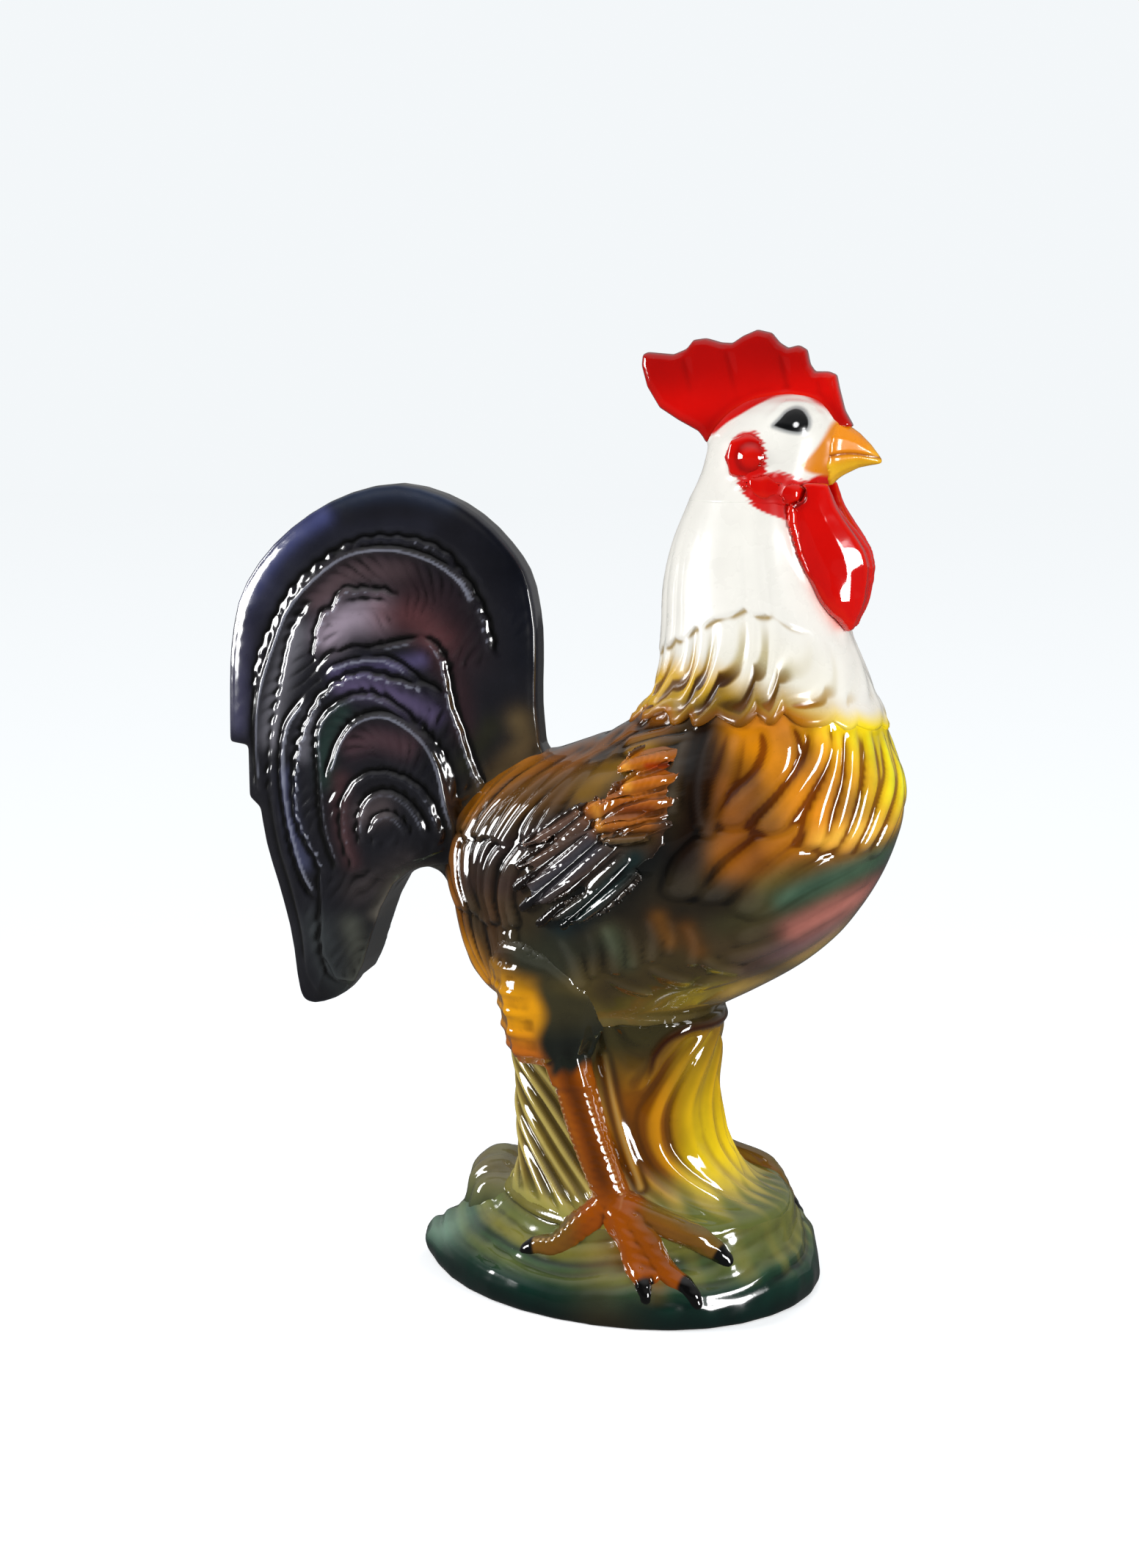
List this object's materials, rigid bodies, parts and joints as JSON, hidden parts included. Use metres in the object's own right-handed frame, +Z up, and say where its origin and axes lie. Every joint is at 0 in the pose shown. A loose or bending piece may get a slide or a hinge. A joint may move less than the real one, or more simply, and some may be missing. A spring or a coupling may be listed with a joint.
{
  "type": "ceramic rooster figure",
  "caption": "Glazed ceramic rooster standing on a grass mound, with an upright sickle tail, feathered neck cape and red comb and wattles.",
  "frame": {"origin": "middle of the mound's flat underside, on the surface that it stands on", "axes": "+X from tail to beak, +Z up, +Y to the bird's left"},
  "size_m": [0.2198, 0.1015, 0.2998],
  "materials": {
    "moss_glaze": "high gloss, deep green pooling over olive",
    "straw_glaze": "high gloss, yellow to amber brown",
    "plumage_glaze": "high gloss, golden, rose, teal and brown bands",
    "cream_glaze": "high gloss, white with khaki in the grooves",
    "red_glaze": "high gloss scarlet",
    "amber_glaze": "high gloss orange to yellow",
    "midnight_glaze": "high gloss blue-black with mauve and green streaks",
    "umber_glaze": "high gloss, orange-brown to mauve-grey",
    "russet_glaze": "high gloss orange-brown with black claws"
  },
  "bodies": {
    "root": {"base_mound": "moss_glaze", "rear_tuft": "straw_glaze", "grass_column": "straw_glaze", "torso": "plumage_glaze", "hackle_neck": "cream_glaze", "head": "cream_glaze", "comb": "red_glaze", "beak": "amber_glaze", "tail": "midnight_glaze", "right_wing": "umber_glaze", "right_leg": "russet_glaze", "right_earlobe": "red_glaze", "right_wattle": "red_glaze", "left_wing": "umber_glaze", "left_leg": "russet_glaze", "left_earlobe": "red_glaze", "left_wattle": "red_glaze"}
  },
  "joints": []
}
